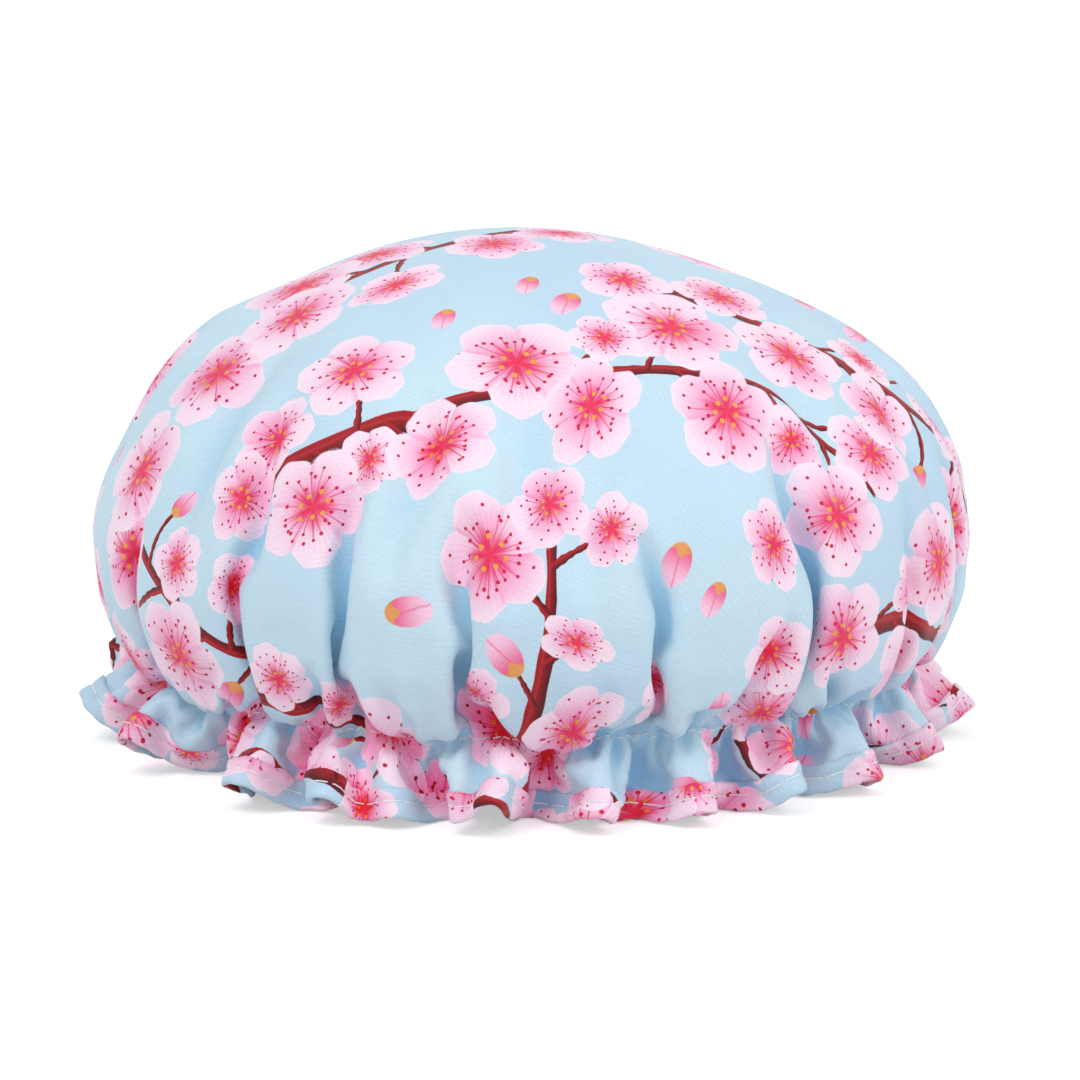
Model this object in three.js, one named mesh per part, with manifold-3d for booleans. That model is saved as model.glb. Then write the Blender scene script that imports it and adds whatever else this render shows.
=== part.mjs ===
// A ruffled shower cap: a printed cloth outside and a waterproof film inside, cut as two equal discs.
// Their edges are bound together with a folded strip of the same cloth, and a ring of elastic, sewn to
// the inside while it is stretched, draws them in to a puffed crown above and a wavy ruffle below.
// Millimetres, +Z up, the front toward -Y, and the origin on the floor under the middle of the cap.

import * as THREE from 'three';
import Module from 'manifold-3d';
import { mergeVertices } from 'three/addons/utils/BufferGeometryUtils.js';

const wasm = await Module();
wasm.setup();
const { Manifold, Mesh } = wasm;
const degrees = Math.PI / 180;
const fullTurn = 2 * Math.PI;

// Sizes of the crown, with heights measured up from the line where the elastic is sewn
const crownRadius = 145;
const crownHeight = 142;
const crownWidestHeight = 41;
const crownLean = 6;
const puffRoll = 18;
const puffRise = 7;
const pleatCount = 18;
const pleatDepth = 16;
const pleatRun = 120;
const pleatFade = 22;
const pleatUnevenness = 0.3;
const pleatCrowding = 3 * degrees;

// Sizes of the gathered line and of the ruffle under it
const bandRadius = 124;
const puckerDepth = 1.2;
const ruffleWidth = 26;
const waveCount = 20;
const gatherOffset = -4 * degrees;
const waveUnevenness = 0.25;
const flareAngle = 24 * degrees;
const swingAngle = 40 * degrees;
const waveSway = 3;
const spacingUnevenness = 3.5 * degrees;

// Sizes of the layers, the bound edge, the elastic and the sewing
const clothThickness = 0.4;
const liningThickness = 0.25;
const bindingWidth = 9;
const bindingFold = 1.2;
const bendAllowance = 2;
const elasticWidth = 6;
const elasticThickness = 1;
const elasticOverlap = 16;
const threadDiameter = 0.5;
const tackLegs = 6;
const tackPitch = 1.5;
const tackMargin = 0.8;
const layerGap = 0.3;
const floorCut = 0.5;

// How finely each piece is faceted
const topColumns = 2 * pleatCount;
const pleatColumns = 4 * pleatCount;
const columnsPerRow = pleatCount / 2;
const waveColumns = 6 * waveCount;
const crownRows = 7;
const plainRows = 4;
const rowCrowding = 1.5;
const elasticSteps = 90;
const threadSides = 4;
const turnSteps = 4;

// Offsets of the layers from the middle surface that runs between the cloth and the lining
const clothInside = layerGap / 2;
const clothOutside = clothInside + clothThickness;
const liningOutside = -layerGap / 2;
const liningInside = liningOutside - liningThickness;
const threadRadius = threadDiameter / 2;

function place(radius, angle, height) {
  return new THREE.Vector3(radius * Math.sin(angle), -radius * Math.cos(angle), height);
}

// Gathers are never quite even, so their spacing drifts a little around the cap
function drift(angle) {
  return angle + spacingUnevenness * Math.sin(2 * angle + 0.7);
}

// The crown's profile from its top down to the sewn line: a quarter ellipse, then a puff that rolls in
const quarterRound = 0.5523;
const domeHeight = crownHeight - crownWidestHeight;
const profile = new THREE.Path();
profile.moveTo(0, crownHeight);
profile.bezierCurveTo(
  quarterRound * crownRadius, crownHeight,
  crownRadius, crownWidestHeight + quarterRound * domeHeight,
  crownRadius, crownWidestHeight,
);
profile.bezierCurveTo(crownRadius, puffRoll, bandRadius + puffRoll, puffRise, bandRadius, 0);
const profileLength = profile.getLength();

// Pleats start partway down, are deepest where the crown puffs, and have broad backs and narrow valleys.
// Some crowd together and some stand wide apart, until the sewn line spreads them as it does the waves.
function crownPoint(along, angle) {
  const point = profile.getPointAt(along);
  const tangent = profile.getTangentAt(along);
  const aboveBand = (1 - along) * profileLength;
  const growth = 1 - THREE.MathUtils.smoothstep(aboveBand, 0, pleatRun);
  const fade = THREE.MathUtils.smoothstep(aboveBand, 0, pleatFade);
  const turn = angle - gatherOffset;
  const valley = ((1 + Math.cos(pleatCount * turn)) / 2) ** 3;
  const unevenness = 1 + pleatUnevenness * Math.sin(4 * angle + 2.1);
  const inward = pleatDepth * unevenness * growth * fade * valley;
  const slump = Math.max(0, (point.y - crownWidestHeight) / domeHeight) ** 2;
  const crowded = angle - pleatCrowding * Math.cos(4 * turn);
  const spread = THREE.MathUtils.lerp(drift(angle), crowded, fade);
  const radius = point.x + tangent.y * inward;
  const result = place(radius, spread, point.y - tangent.x * inward);
  result.x -= crownLean * slump;
  return result;
}

// The sewn line is drawn in by the elastic to small puckers, in step with the waves of the ruffle
function bandPoint(angle) {
  const phase = waveCount * (angle - gatherOffset);
  return place(bandRadius + puckerDepth * Math.cos(phase), drift(angle), 0);
}

// Below it each line of the ruffle swings out and in like a pendulum, and the bound edge hangs straight
const hangLength = bindingWidth + bendAllowance;
const swingLength = ruffleWidth - hangLength;
function rufflePoint(angle, hang) {
  const phase = waveCount * (angle - gatherOffset);
  const unevenness = 1 + waveUnevenness * Math.sin(6 * angle + 0.4);
  const tilt = flareAngle + swingAngle * unevenness * Math.cos(phase);
  const radius = bandRadius + swingLength * Math.sin(tilt);
  const sway = (waveSway * Math.sin(2 * phase)) / bandRadius;
  return place(radius, drift(angle) + sway, -swingLength * Math.cos(tilt) - hang);
}

function ringOf(count, pointAt) {
  const points = [];
  for (let step = 0; step < count; step += 1) {
    points.push(pointAt(gatherOffset + (fullTurn * step) / count));
  }
  return points;
}

// The middle surface as rings of points, from the top of the crown down to the edge of the ruffle.
// The rings get more points on their way down, where the pleats become deep.
const rings = [[crownPoint(0, 0)]];
for (let row = 1; row < crownRows; row += 1) {
  const along = 1 - (1 - row / crownRows) ** rowCrowding;
  const plainColumns = Math.min(topColumns, columnsPerRow * (row + 1));
  const columns = row <= plainRows ? plainColumns : pleatColumns;
  rings.push(ringOf(columns, (angle) => crownPoint(along, angle)));
}
rings.push(ringOf(waveColumns, bandPoint));
rings.push(ringOf(waveColumns, (angle) => rufflePoint(angle, 0)));
rings.push(ringOf(waveColumns, (angle) => rufflePoint(angle, hangLength)));
const bandRing = rings.length - 3;
const edgeRing = rings.length - 1;

// The whole cap is lifted so that the lowest folds of the bound edge reach a little below the floor
const lowestEdge = Math.min(...rings[edgeRing].map((point) => point.z));
const bandHeight = layerGap + bindingFold - lowestEdge - floorCut;
rings.flat().forEach((point) => {
  point.z += bandHeight;
});

// Neighbouring rings are joined by triangles that advance along whichever ring lags behind
const ringStart = [];
let pointCount = 0;
for (const ring of rings) {
  ringStart.push(pointCount);
  pointCount += ring.length;
}
const middleFaces = [];
for (let row = 0; row + 1 < rings.length; row += 1) {
  const upperCount = rings[row].length;
  const lowerCount = rings[row + 1].length;
  let upper = 0;
  let lower = 0;
  while (upper < upperCount || lower < lowerCount) {
    const upperIndex = ringStart[row] + (upper % upperCount);
    const lowerIndex = ringStart[row + 1] + (lower % lowerCount);
    const upperLags = (upper + 1) / upperCount <= (lower + 1) / lowerCount;
    if (upperCount > 1 && upperLags) {
      upper += 1;
      middleFaces.push([upperIndex, lowerIndex, ringStart[row] + (upper % upperCount)]);
    } else {
      lower += 1;
      if (lower > lowerCount) {
        break;
      }
      middleFaces.push([upperIndex, lowerIndex, ringStart[row + 1] + (lower % lowerCount)]);
    }
  }
}

// At each point the faces that meet there share its normal by the angle that each takes up,
// and its openness is how squarely the steepest of them faces along that normal
const middlePoints = rings.flat();
const middleNormals = middlePoints.map(() => new THREE.Vector3());
const faceNormals = middleFaces.map((face) => {
  const [a, b, c] = face.map((index) => middlePoints[index]);
  const faceNormal = new THREE.Triangle(a, b, c).getNormal(new THREE.Vector3());
  for (let corner = 0; corner < 3; corner += 1) {
    const here = middlePoints[face[corner]];
    const toNext = middlePoints[face[(corner + 1) % 3]].clone().sub(here);
    const toLast = middlePoints[face[(corner + 2) % 3]].clone().sub(here);
    middleNormals[face[corner]].addScaledVector(faceNormal, toNext.angleTo(toLast));
  }
  return faceNormal;
});
middleNormals.forEach((normal) => normal.normalize());
const openness = middlePoints.map(() => 1);
middleFaces.forEach((face, order) => {
  for (const index of face) {
    openness[index] = Math.min(openness[index], faceNormals[order].dot(middleNormals[index]));
  }
});
function middlePoint(index, offset) {
  return middlePoints[index].clone().addScaledVector(middleNormals[index], offset);
}

// A layer of the cap is the space between two offsets of the middle surface, closed along its edge
function layerBetween(outside, inside) {
  const points = [];
  for (let index = 0; index < pointCount; index += 1) {
    points.push(middlePoint(index, outside));
  }
  for (let index = 0; index < pointCount; index += 1) {
    points.push(middlePoint(index, inside));
  }
  const faces = [];
  for (const [a, b, c] of middleFaces) {
    faces.push(a, b, c);
    faces.push(a + pointCount, c + pointCount, b + pointCount);
  }
  for (let step = 0; step < waveColumns; step += 1) {
    const left = ringStart[edgeRing] + step;
    const right = ringStart[edgeRing] + ((step + 1) % waveColumns);
    faces.push(right, left, left + pointCount);
    faces.push(right, left + pointCount, right + pointCount);
  }
  return new THREE.BufferGeometry().setFromPoints(points).setIndex(faces);
}

// A loft through sections with equal counts, either round in a ring or closed with a face at each end
function loft(sections, isRing) {
  const size = sections[0].length;
  const faces = [];
  const spans = isRing ? sections.length : sections.length - 1;
  for (let span = 0; span < spans; span += 1) {
    const here = span * size;
    const next = ((span + 1) % sections.length) * size;
    for (let side = 0; side < size; side += 1) {
      const other = (side + 1) % size;
      faces.push(here + side, next + side, here + other);
      faces.push(here + other, next + side, next + other);
    }
  }
  if (!isRing) {
    const last = (sections.length - 1) * size;
    for (let side = 1; side + 1 < size; side += 1) {
      faces.push(0, side, side + 1);
      faces.push(last, last + side + 1, last + side);
    }
  }
  return new THREE.BufferGeometry().setFromPoints(sections.flat()).setIndex(faces);
}

// Sewing thread laid along points, each with the direction that faces away from what it lies on
function threadAlong(points, normals, isRing) {
  const sections = [];
  const count = points.length;
  for (let step = 0; step < count; step += 1) {
    const before = isRing ? (step + count - 1) % count : Math.max(0, step - 1);
    const after = isRing ? (step + 1) % count : Math.min(count - 1, step + 1);
    const run = points[after].clone().sub(points[before]).normalize();
    const across = normals[step].clone().cross(run).normalize();
    const away = run.clone().cross(across);
    const section = [];
    for (let side = 0; side < threadSides; side += 1) {
      const turn = (fullTurn * side) / threadSides;
      const corner = points[step].clone();
      corner.addScaledVector(away, threadRadius * Math.cos(turn));
      corner.addScaledVector(across, threadRadius * Math.sin(turn));
      section.push(corner);
    }
    sections.push(section);
  }
  return loft(sections, isRing);
}

// The bound edge hangs straight, so its layers are offset level, with mitred corners
const edgePoints = rings[edgeRing];
const edgeNormals = edgePoints.map((point, step) => {
  const before = edgePoints[(step + waveColumns - 1) % waveColumns];
  const after = edgePoints[(step + 1) % waveColumns];
  const arriving = new THREE.Vector3(point.y - before.y, before.x - point.x, 0).normalize();
  const leaving = new THREE.Vector3(after.y - point.y, point.x - after.x, 0).normalize();
  const shortening = 1 + arriving.dot(leaving);
  return arriving.add(leaving).divideScalar(shortening);
});
function besideEdge(step, offset, height) {
  const point = edgePoints[step].clone();
  point.addScaledVector(edgeNormals[step], offset);
  point.z += height;
  return point;
}

// Binding: a strip folded round both raw edges, so its section is a narrow channel, cut flat on the floor
const bindingInner = clothOutside + layerGap;
const bindingOuter = bindingInner + clothThickness;
const bindingBackInner = liningInside - layerGap;
const bindingBackOuter = bindingBackInner - clothThickness;
const bindingFloor = -layerGap;
const bindingBottom = bindingFloor - bindingFold;
const bindingTop = bindingBottom + bindingWidth;
const bindingSections = edgePoints.map((point, step) => [
  besideEdge(step, bindingOuter, bindingBottom),
  besideEdge(step, bindingOuter, bindingTop),
  besideEdge(step, bindingInner, bindingTop),
  besideEdge(step, bindingInner, bindingFloor),
  besideEdge(step, bindingBackInner, bindingFloor),
  besideEdge(step, bindingBackInner, bindingTop),
  besideEdge(step, bindingBackOuter, bindingTop),
  besideEdge(step, bindingBackOuter, bindingBottom),
]);

function solidFrom(geometry) {
  geometry.deleteAttribute('normal');
  geometry.deleteAttribute('uv');
  const welded = mergeVertices(geometry);
  const triVerts = Uint32Array.from(welded.index.array);
  const vertProperties = Float32Array.from(welded.attributes.position.array);
  return new Manifold(new Mesh({ numProp: 3, triVerts, vertProperties }));
}
function geometryFrom(solid) {
  const mesh = solid.getMesh();
  const geometry = new THREE.BufferGeometry();
  geometry.setAttribute('position', new THREE.BufferAttribute(mesh.vertProperties, 3));
  geometry.setIndex(new THREE.BufferAttribute(mesh.triVerts, 1));
  return geometry;
}
const floorSpan = 4 * (crownRadius + ruffleWidth);
const floorDepth = 10 * floorCut;
const floorBlock = new THREE.BoxGeometry(floorSpan, floorSpan, floorDepth);
floorBlock.translate(0, 0, -floorDepth / 2);
const bindingSolid = solidFrom(loft(bindingSections, true)).subtract(solidFrom(floorBlock));

// The two threads of the hem seam run along the middle of the binding, outside and inside
const hemSeamHeight = (bindingBottom + bindingTop) / 2;
const hemNeedleOffset = bindingOuter + layerGap + threadRadius;
const hemBobbinOffset = bindingBackOuter - layerGap - threadRadius;
const hemNeedlePoints = edgePoints.map((point, step) => besideEdge(step, hemNeedleOffset, hemSeamHeight));
const hemBobbinPoints = edgePoints.map((point, step) => besideEdge(step, hemBobbinOffset, hemSeamHeight));

// Elastic: a flat strip inside the sewn line, clear of the ruffle's inward folds, whose tail laps its start
const inwardTilt = Math.max(0, swingAngle * (1 + waveUnevenness) - flareAngle);
const ruffleReach = (elasticWidth / 2) * Math.tan(inwardTilt);
const elasticRadius = bandRadius - puckerDepth - ruffleReach + liningInside - layerGap;
const lapAngle = elasticOverlap / elasticRadius;
const lapDepth = elasticThickness + layerGap;
function tailDepth(travel) {
  return lapDepth * THREE.MathUtils.smoothstep(travel, fullTurn - 3 * lapAngle, fullTurn - lapAngle / 2);
}
const elasticStart = Math.PI;
const elasticSections = [];
for (let step = 0; step <= elasticSteps; step += 1) {
  const travel = ((fullTurn + lapAngle) * step) / elasticSteps;
  const outer = elasticRadius - tailDepth(travel);
  const inner = outer - elasticThickness;
  const angle = elasticStart + travel;
  elasticSections.push([
    place(outer, angle, bandHeight - elasticWidth / 2),
    place(outer, angle, bandHeight + elasticWidth / 2),
    place(inner, angle, bandHeight + elasticWidth / 2),
    place(inner, angle, bandHeight - elasticWidth / 2),
  ]);
}

// The lap is closed by a tack: thread that goes up and down across it in neighbouring legs
const tackRadius = elasticRadius - lapDepth - elasticThickness - layerGap - threadRadius;
const tackTurnRadius = tackPitch / 2;
const tackReach = elasticWidth / 2 - tackMargin - tackTurnRadius;
const tackPoints = [];
const tackNormals = [];
for (let leg = 0; leg < tackLegs; leg += 1) {
  const upward = leg % 2 === 0 ? 1 : -1;
  for (let step = 0; step <= turnSteps; step += 1) {
    const turn = (Math.PI * step) / turnSteps;
    const sideways = (leg - tackLegs / 2) * tackPitch + tackTurnRadius * (1 - Math.cos(turn));
    const height = upward * (tackReach + tackTurnRadius * Math.sin(turn));
    const angle = elasticStart + lapAngle / 2 + sideways / tackRadius;
    tackPoints.push(place(tackRadius, angle, bandHeight + height));
    tackNormals.push(place(-1, angle, 0));
  }
}

// The outer thread of the band seam lies in the groove, as deep as the steeper wall lets it
const bandNeedlePoints = [];
const bandNeedleNormals = [];
for (let step = 0; step < waveColumns; step += 1) {
  const index = ringStart[bandRing] + step;
  const seat = clothOutside + (layerGap + threadRadius) / openness[index];
  bandNeedlePoints.push(middlePoint(index, seat));
  bandNeedleNormals.push(middleNormals[index]);
}

// The inner thread of the band seam lies on the elastic, and over its lap
const overTackDepth = lapDepth + threadDiameter + layerGap;
const bandBobbinPoints = [];
const bandBobbinNormals = [];
for (let step = 0; step < waveColumns; step += 1) {
  const travel = (fullTurn * step) / waveColumns;
  const arriving = THREE.MathUtils.smoothstep(travel, fullTurn - 4 * lapAngle, fullTurn - lapAngle);
  const leaving = 1 - THREE.MathUtils.smoothstep(travel, 1.5 * lapAngle, 3 * lapAngle);
  const depth = overTackDepth * Math.max(arriving, leaving);
  const radius = elasticRadius - elasticThickness - layerGap - threadRadius - depth;
  bandBobbinPoints.push(place(radius, elasticStart + travel, bandHeight));
  bandBobbinNormals.push(place(-1, elasticStart + travel, 0));
}

// Materials, by what each piece is made of
const printedCloth = { color: 0xc4e6f0, roughness: 0.62, metalness: 0 };
const bindingCloth = { color: 0xb9d9e8, roughness: 0.62, metalness: 0 };
const clearFilm = { color: 0xe6edf0, roughness: 0.35, metalness: 0 };
const knittedElastic = { color: 0xf2f1ec, roughness: 0.8, metalness: 0 };
const whiteThread = { color: 0xf7f6f3, roughness: 0.7, metalness: 0 };

const cap = new THREE.Group();
cap.name = 'shower_cap';
function addPiece(name, geometry, look) {
  const mesh = new THREE.Mesh(geometry, new THREE.MeshStandardMaterial(look));
  mesh.name = name;
  cap.add(mesh);
}
addPiece('outer_fabric', layerBetween(clothOutside, clothInside), printedCloth);
addPiece('waterproof_lining', layerBetween(liningOutside, liningInside), clearFilm);
addPiece('hem_binding', geometryFrom(bindingSolid), bindingCloth);
addPiece('elastic_band', loft(elasticSections, false), knittedElastic);
addPiece('hem_needle_thread', threadAlong(hemNeedlePoints, edgeNormals, true), whiteThread);
addPiece('hem_bobbin_thread', threadAlong(hemBobbinPoints, edgeNormals, true), whiteThread);
addPiece('band_needle_thread', threadAlong(bandNeedlePoints, bandNeedleNormals, true), whiteThread);
addPiece('band_bobbin_thread', threadAlong(bandBobbinPoints, bandBobbinNormals, true), whiteThread);
addPiece('elastic_join_thread', threadAlong(tackPoints, tackNormals, false), whiteThread);

export default cap;
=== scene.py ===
import math

import bpy
import numpy as np
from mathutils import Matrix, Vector
from mathutils.bvhtree import BVHTree


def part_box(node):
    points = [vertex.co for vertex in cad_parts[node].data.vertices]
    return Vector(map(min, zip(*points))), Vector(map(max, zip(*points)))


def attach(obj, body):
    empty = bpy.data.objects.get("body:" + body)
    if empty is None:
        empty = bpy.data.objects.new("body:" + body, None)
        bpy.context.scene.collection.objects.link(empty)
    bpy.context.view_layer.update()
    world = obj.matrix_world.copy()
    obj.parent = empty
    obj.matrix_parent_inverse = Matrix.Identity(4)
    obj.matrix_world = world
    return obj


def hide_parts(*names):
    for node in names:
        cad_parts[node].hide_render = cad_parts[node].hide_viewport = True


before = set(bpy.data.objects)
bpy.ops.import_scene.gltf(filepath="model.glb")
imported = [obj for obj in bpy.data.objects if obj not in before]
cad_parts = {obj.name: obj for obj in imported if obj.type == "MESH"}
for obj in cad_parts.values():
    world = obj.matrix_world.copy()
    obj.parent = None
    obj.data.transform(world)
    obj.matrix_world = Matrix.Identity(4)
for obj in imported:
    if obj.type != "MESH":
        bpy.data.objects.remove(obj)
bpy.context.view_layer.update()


# Outer fabric: the cut and the gathering
# One disc of thin satin-weave polyester. Elastic sewn to it some way in from the edge draws it up to half
# its width there, so the middle puffs out as the crown and the rest hangs below as the ruffle.

BAND_CUT = 0.2425
HEM_CUT = 0.2715
BAND_RADIUS = 0.124
BAND_HEIGHT = 0.027
CROWN_RADIUS = 0.142
CROWN_WIDEST = 0.066
CROWN_RISE = 0.102
FILLED_RADIUS = 0.131
FILLED_RISE = 0.1015
FULLEST_RADIUS = 0.1455
FULLEST_RISE = 0.1045
OUTSIDE_ELASTIC = 0.1215
OFF_FLOOR = 0.0014
LOWEST_PUFF = 0.020
RUFFLE_TOP = 0.022
FILM_GAP = 0.0006
COLUMNS = 440
ROWS = 7
CREASES = 18
# The crests of the ruffle's waves, in degrees from the front toward the right.
WAVE_ANGLES = (-176, -160, -146, -123, -107, -83, -62, -41, -28, -4.4,
               10.7, 22, 35, 50, 69, 86, 108, 121, 140, 155)


def turned(radius, angle, height):
    """Points at a radius and height, with the angle from the front toward the right."""
    return np.stack(np.broadcast_arrays(radius * np.sin(angle), -radius * np.cos(angle), height), -1)


def sums_at(places, values, count):
    """The sum of the values that fall on each place, column by column."""
    return np.stack([np.bincount(places, column, count) for column in values.T], 1)


def cut_disc():
    """The flat disc: rings of points, closer where the cloth is gathered, and the triangles between them."""
    def spacing(radius):
        return float(np.interp(radius, (0.10, 0.20), (0.0072, 0.0038)))

    radii = [BAND_CUT]
    while radii[-1] > 0.006:
        radii.append(radii[-1] - spacing(radii[-1]))
    radii = radii[:-1][::-1]
    counts = [round(2 * math.pi * radius / spacing(radius)) for radius in radii]
    counts[-1] = COLUMNS
    radii += [BAND_CUT + (HEM_CUT - BAND_CUT) * row / ROWS for row in range(1, ROWS + 1)]
    counts += [COLUMNS] * ROWS
    shifts = [0.5 * (ring % 2) if count != COLUMNS else 0.0 for ring, count in enumerate(counts)]

    starts = 1 + np.concatenate([[0], np.cumsum(counts)[:-1]])
    flat = [np.zeros((1, 2))]
    for radius, count, shift in zip(radii, counts, shifts):
        angle = 2 * math.pi * (np.arange(count) + shift) / count
        flat.append(turned(radius, angle, 0)[:, :2])

    triangles = [(0, 1 + step, 1 + (step + 1) % counts[0]) for step in range(counts[0])]
    for ring in range(len(counts) - 1):
        inner, outer = starts[ring], starts[ring + 1]
        inner_count, outer_count = counts[ring], counts[ring + 1]
        if inner_count == outer_count:
            for column in range(inner_count):
                after = (column + 1) % inner_count
                p, q, r, t = inner + column, inner + after, outer + column, outer + after
                if (column + ring + 1) % 2:
                    triangles += [(p, r, q), (q, r, t)]
                else:
                    triangles += [(p, r, t), (p, t, q)]
            continue
        i = j = 0
        while i < inner_count or j < outer_count:
            inner_next = (i + 1 + shifts[ring]) / inner_count
            outer_next = (j + 1 + shifts[ring + 1]) / outer_count
            here, there = inner + i % inner_count, outer + j % outer_count
            if j >= outer_count or (i < inner_count and inner_next <= outer_next):
                i += 1
                triangles.append((here, there, inner + i % inner_count))
            else:
                j += 1
                triangles.append((here, there, outer + j % outer_count))
    return np.concatenate(flat), np.array(triangles), starts


def smooth_profile(cut_radius):
    """Radius and height of the cap before it wrinkles, at a radius of the flat disc."""
    turn = np.linspace(0, math.pi / 2, 400)
    dome = np.stack([CROWN_RADIUS * np.sin(turn), CROWN_WIDEST + CROWN_RISE * np.cos(turn)], 1)
    part = np.linspace(0, 1, 200)[1:, None]
    corners = np.array([(CROWN_RADIUS, CROWN_WIDEST), (CROWN_RADIUS, 0.046), (CROWN_RADIUS, 0.034),
                        (BAND_RADIUS, BAND_HEIGHT)])
    weights = ((1 - part) ** 3, 3 * (1 - part) ** 2 * part, 3 * (1 - part) * part ** 2, part ** 3)
    side = sum(weight * corner for weight, corner in zip(weights, corners))
    path = np.concatenate([dome, side])
    length = np.concatenate([[0], np.cumsum(np.linalg.norm(np.diff(path, axis=0), axis=1))])
    along = np.clip(cut_radius / BAND_CUT, 0, 1) * length[-1]
    return np.interp(along, length, path[:, 0]), np.interp(along, length, path[:, 1])


def starting_shape(cut_radius, angle, crown, ruffle, seed):
    """The cap with shallow creases in the crown and waves in the ruffle, from which the folds grow."""
    radius, height = smooth_profile(cut_radius)

    chance = np.random.default_rng(seed)
    peaks = np.radians(WAVE_ANGLES + (WAVE_ANGLES[0] + 360,))
    sizes = chance.uniform(0.55, 1.3, len(peaks))
    sizes[-1] = sizes[0]
    from_first = np.where(angle < peaks[0], angle + 2 * math.pi, angle)
    phase = 2 * math.pi * np.interp(from_first, peaks, np.arange(len(peaks)))
    curled_out = np.exp(-((angle - np.radians(-97)) / np.radians(20)) ** 2)
    tucked_in = np.exp(-((angle - np.radians(95)) / np.radians(26)) ** 2)
    flare = np.radians(28) + np.radians(18) * curled_out - np.radians(30) * tucked_in
    tilt = flare + np.radians(50) * np.interp(from_first, peaks, sizes) * np.cos(phase)
    below = cut_radius - BAND_CUT
    radius = np.where(ruffle, BAND_RADIUS + below * np.sin(tilt), radius)
    height = np.where(ruffle, BAND_HEIGHT - below * np.cos(tilt), height)

    even = 2 * math.pi * np.arange(CREASES) / CREASES
    creases = even - np.radians(4) - np.radians(3) * np.cos(4 * even)
    away = (angle[:, None] - creases + math.pi) % (2 * math.pi) - math.pi
    reach = chance.uniform(0.07, 0.16, CREASES)
    depth = chance.uniform(0.006, 0.015, CREASES)
    fade = np.clip((cut_radius[:, None] - reach) / (0.22 - reach), 0, 1) ** 1.3
    inward = (depth * fade * np.exp(-(away / np.radians(3)) ** 2)).sum(1)
    radius = radius + (chance.normal(0, 0.0003, len(angle)) - inward) * crown
    return turned(radius, angle, height)


def triangle_sides(triangles):
    """The two ends of each side of each triangle, lower number first, and the corner that faces the side."""
    sides = np.concatenate([triangles[:, [0, 1]], triangles[:, [1, 2]], triangles[:, [2, 0]]])
    return np.sort(sides, 1), np.concatenate([triangles[:, 2], triangles[:, 0], triangles[:, 1]])


def independent_batches(pairs, count):
    """Puts the pairs into batches in which no point comes twice, so that a batch can move at once."""
    taken = [0] * count
    batch = np.empty(len(pairs), int)
    for number, (a, b) in enumerate(pairs.tolist()):
        used = taken[a] | taken[b]
        free = 0
        while used >> free & 1:
            free += 1
        batch[number] = free
        taken[a] |= 1 << free
        taken[b] |= 1 << free
    return [np.flatnonzero(batch == number) for number in range(batch.max() + 1)]


def touching_pairs(points, reach, flat, apart):
    """Pairs of points nearer than reach that lie further apart than that on the flat cloth."""
    cell = np.floor(points / reach).astype(np.int64)
    cell -= cell.min(0) - 1
    size = cell.max(0) + 2
    key = (cell[:, 0] * size[1] + cell[:, 1]) * size[2] + cell[:, 2]
    order = np.argsort(key, kind="stable")
    sorted_key = key[order]
    found = [np.zeros((0, 2), int)]
    steps = [(x, y, z) for x in (-1, 0, 1) for y in (-1, 0, 1) for z in (-1, 0, 1)]
    for x, y, z in steps:
        offset = (x * size[1] + y) * size[2] + z
        if offset < 0:
            continue
        first = np.searchsorted(sorted_key, key + offset, "left")
        last = np.searchsorted(sorted_key, key + offset, "right")
        number = last - first
        total = number.sum()
        a = np.repeat(np.arange(len(points)), number)
        b = order[np.arange(total) + np.repeat(first - np.cumsum(number) + number, number)]
        near = np.linalg.norm(points[a] - points[b], axis=1) < reach
        distinct = np.linalg.norm(flat[a] - flat[b], axis=1) > apart
        kept = near & distinct & ((a < b) | (offset > 0))
        found.append(np.stack([a[kept], b[kept]], 1))
    return np.concatenate(found)


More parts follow.
